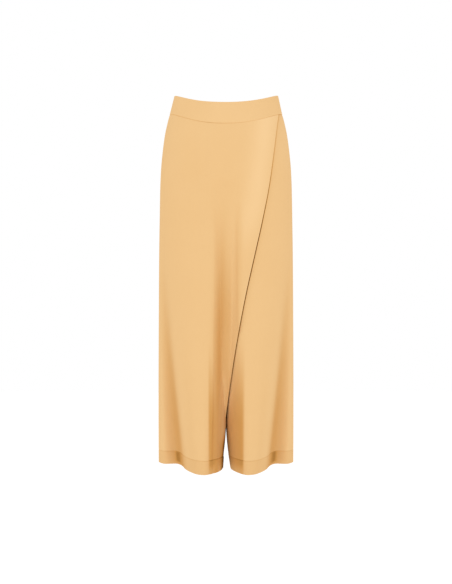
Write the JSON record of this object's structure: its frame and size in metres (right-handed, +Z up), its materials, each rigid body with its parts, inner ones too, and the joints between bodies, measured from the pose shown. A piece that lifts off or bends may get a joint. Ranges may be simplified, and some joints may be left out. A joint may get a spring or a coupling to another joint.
{
  "type": "palazzo trousers",
  "caption": "High-waisted wide-leg palazzo trousers with a shaped waistband and a wrap front panel, hollow as when worn.",
  "frame": {"origin": "centre of the waist opening, halfway up the waistband", "axes": "+Z up, the front faces -Y, +X towards the wearer's left side"},
  "size_m": [0.363, 0.2591, 0.9778],
  "materials": {
    "crepe": "matt crepe, soft warm apricot"
  },
  "bodies": {
    "root": {"waistband_front": "crepe", "waistband_back": "crepe", "front_right_leg": "crepe", "front_left_leg": "crepe", "back_right_leg": "crepe", "back_left_leg": "crepe", "wrap_panel": "crepe"}
  },
  "joints": []
}
